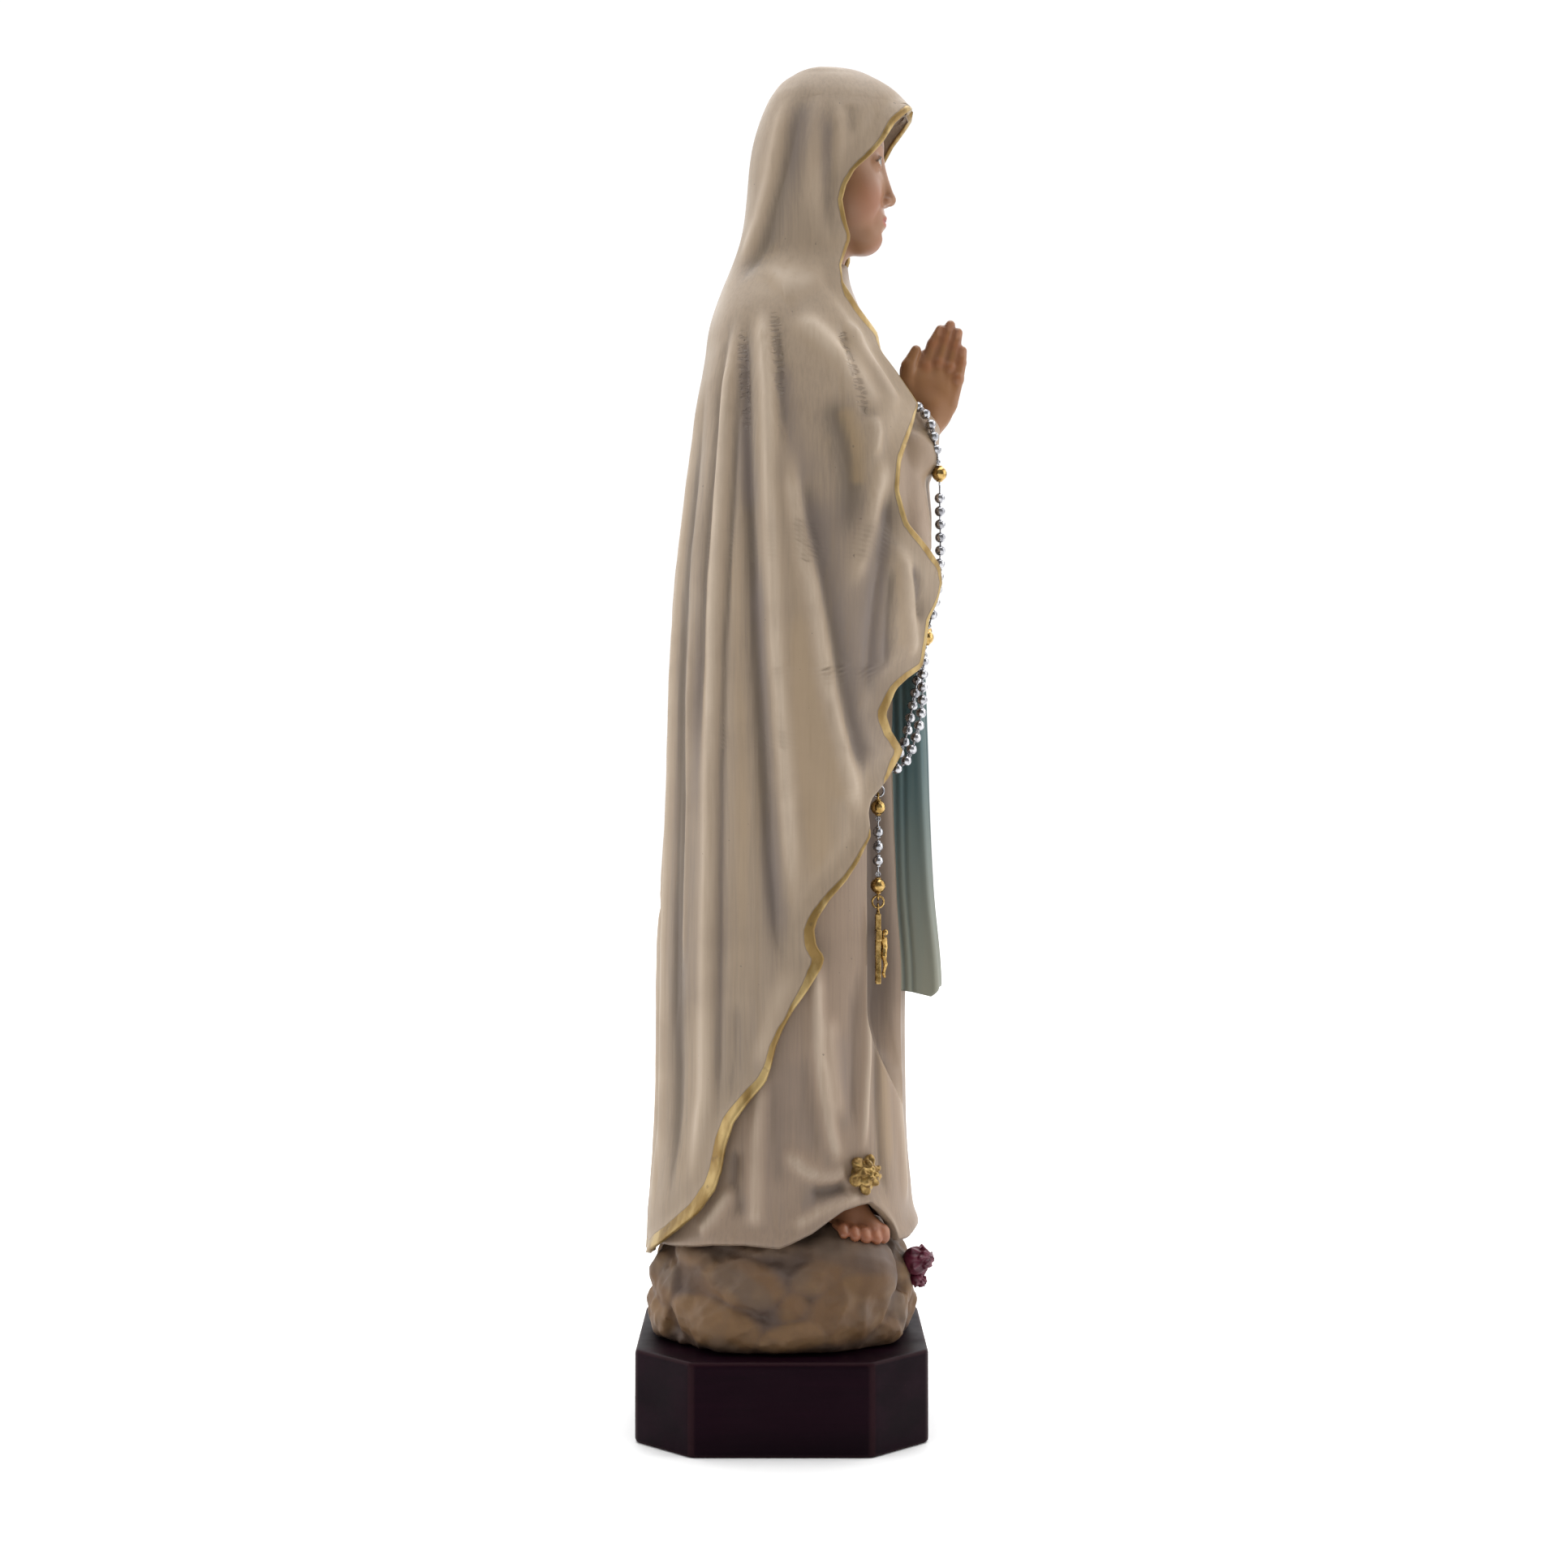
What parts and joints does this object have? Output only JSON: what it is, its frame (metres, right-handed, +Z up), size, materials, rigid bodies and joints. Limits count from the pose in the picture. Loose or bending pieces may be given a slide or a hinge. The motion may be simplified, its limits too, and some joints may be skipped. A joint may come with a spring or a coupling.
{
  "type": "madonna statue",
  "caption": "Carved and painted madonna statue with joined hands, standing on a rock and an eight-sided plinth, with a metal rosary over her arm.",
  "frame": {"origin": "middle of the plinth's underside", "axes": "+Z up; the figure faces -Y; her right side is -X"},
  "size_m": [0.068, 0.0746, 0.3],
  "materials": {
    "plinth_stain": "dark red-brown stain, satin varnish",
    "screw_steel": "zinc-plated wood screw",
    "bare_wood": "bare turned dowel",
    "stone_paint": "carved wood, tan and grey glazes, matt",
    "crimson_paint": "carved wood, crimson oil colour",
    "flesh_paint": "carved wood, flesh oil colour, satin",
    "gilt_paint": "carved wood, gold leaf",
    "gown_paint": "carved wood, warm white oil colour, matt",
    "ivory_paint": "carved wood, ivory oil colour with grey glaze in the folds, matt",
    "blue_paint": "carved wood, teal-blue oil colour, matt",
    "silver_metal": "bright silver-coloured plate",
    "gilt_metal": "gilt plate"
  },
  "bodies": {
    "statue": {"plinth": "plinth_stain", "right_plinth_screw": "screw_steel", "left_plinth_screw": "screw_steel", "front_figure_dowel": "bare_wood", "rear_figure_dowel": "bare_wood", "rock_base": "stone_paint", "rock_rose": "crimson_paint", "right_foot": "flesh_paint", "left_foot": "flesh_paint", "right_foot_rose": "gilt_paint", "left_foot_rose": "gilt_paint", "head": "flesh_paint", "right_hand": "flesh_paint", "left_hand": "flesh_paint", "gown": "gown_paint", "mantle": "ivory_paint", "right_sleeve": "gown_paint", "left_sleeve": "gown_paint", "sash_band": "blue_paint", "sash_knot": "blue_paint", "right_sash_tail": "blue_paint", "left_sash_tail": "blue_paint", "second_decade": "silver_metal", "third_decade": "silver_metal", "fourth_decade": "silver_metal", "first_pater_bead": "gilt_metal", "second_pater_bead": "gilt_metal", "third_pater_bead": "gilt_metal", "fourth_pater_bead": "gilt_metal"},
    "lower_loop": {"first_decade": "silver_metal", "fifth_decade": "silver_metal", "centrepiece": "silver_metal"},
    "drop_ring": {"drop_ring": "silver_metal"},
    "drop": {"upper_drop_pater": "gilt_metal", "upper_drop_ave": "silver_metal", "middle_drop_ave": "silver_metal", "lower_drop_ave": "silver_metal", "lower_drop_pater": "gilt_metal"},
    "crucifix_ring": {"crucifix_ring": "gilt_metal"},
    "crucifix": {"crucifix_cross": "gilt_metal", "crucifix_corpus": "gilt_metal"}
  },
  "joints": [
    {"name": "lower_loop_swing", "type": "hinge", "parent": "statue", "child": "lower_loop", "pos_m": [-0.0091, -0.0314, 0.173], "axis": [-1, 0, 0], "range_deg": [0, 30]},
    {"name": "drop_ring_swing", "type": "hinge", "parent": "lower_loop", "child": "drop_ring", "pos_m": [-0.0162, -0.0208, 0.1397], "axis": [-1, 0, 0], "range_deg": [0, 50]},
    {"name": "drop_side_swing", "type": "hinge", "parent": "drop_ring", "child": "drop", "pos_m": [-0.0162, -0.0208, 0.13805], "axis": [0, 1, 0], "range_deg": [-1, 12]},
    {"name": "crucifix_ring_swing", "type": "hinge", "parent": "drop", "child": "crucifix_ring", "pos_m": [-0.0162, -0.0208, 0.11576], "axis": [-1, 0, 0], "range_deg": [0, 60]},
    {"name": "crucifix_side_swing", "type": "hinge", "parent": "crucifix_ring", "child": "crucifix", "pos_m": [-0.0162, -0.0208, 0.11411], "axis": [0, 1, 0], "range_deg": [-4, 12]}
  ]
}
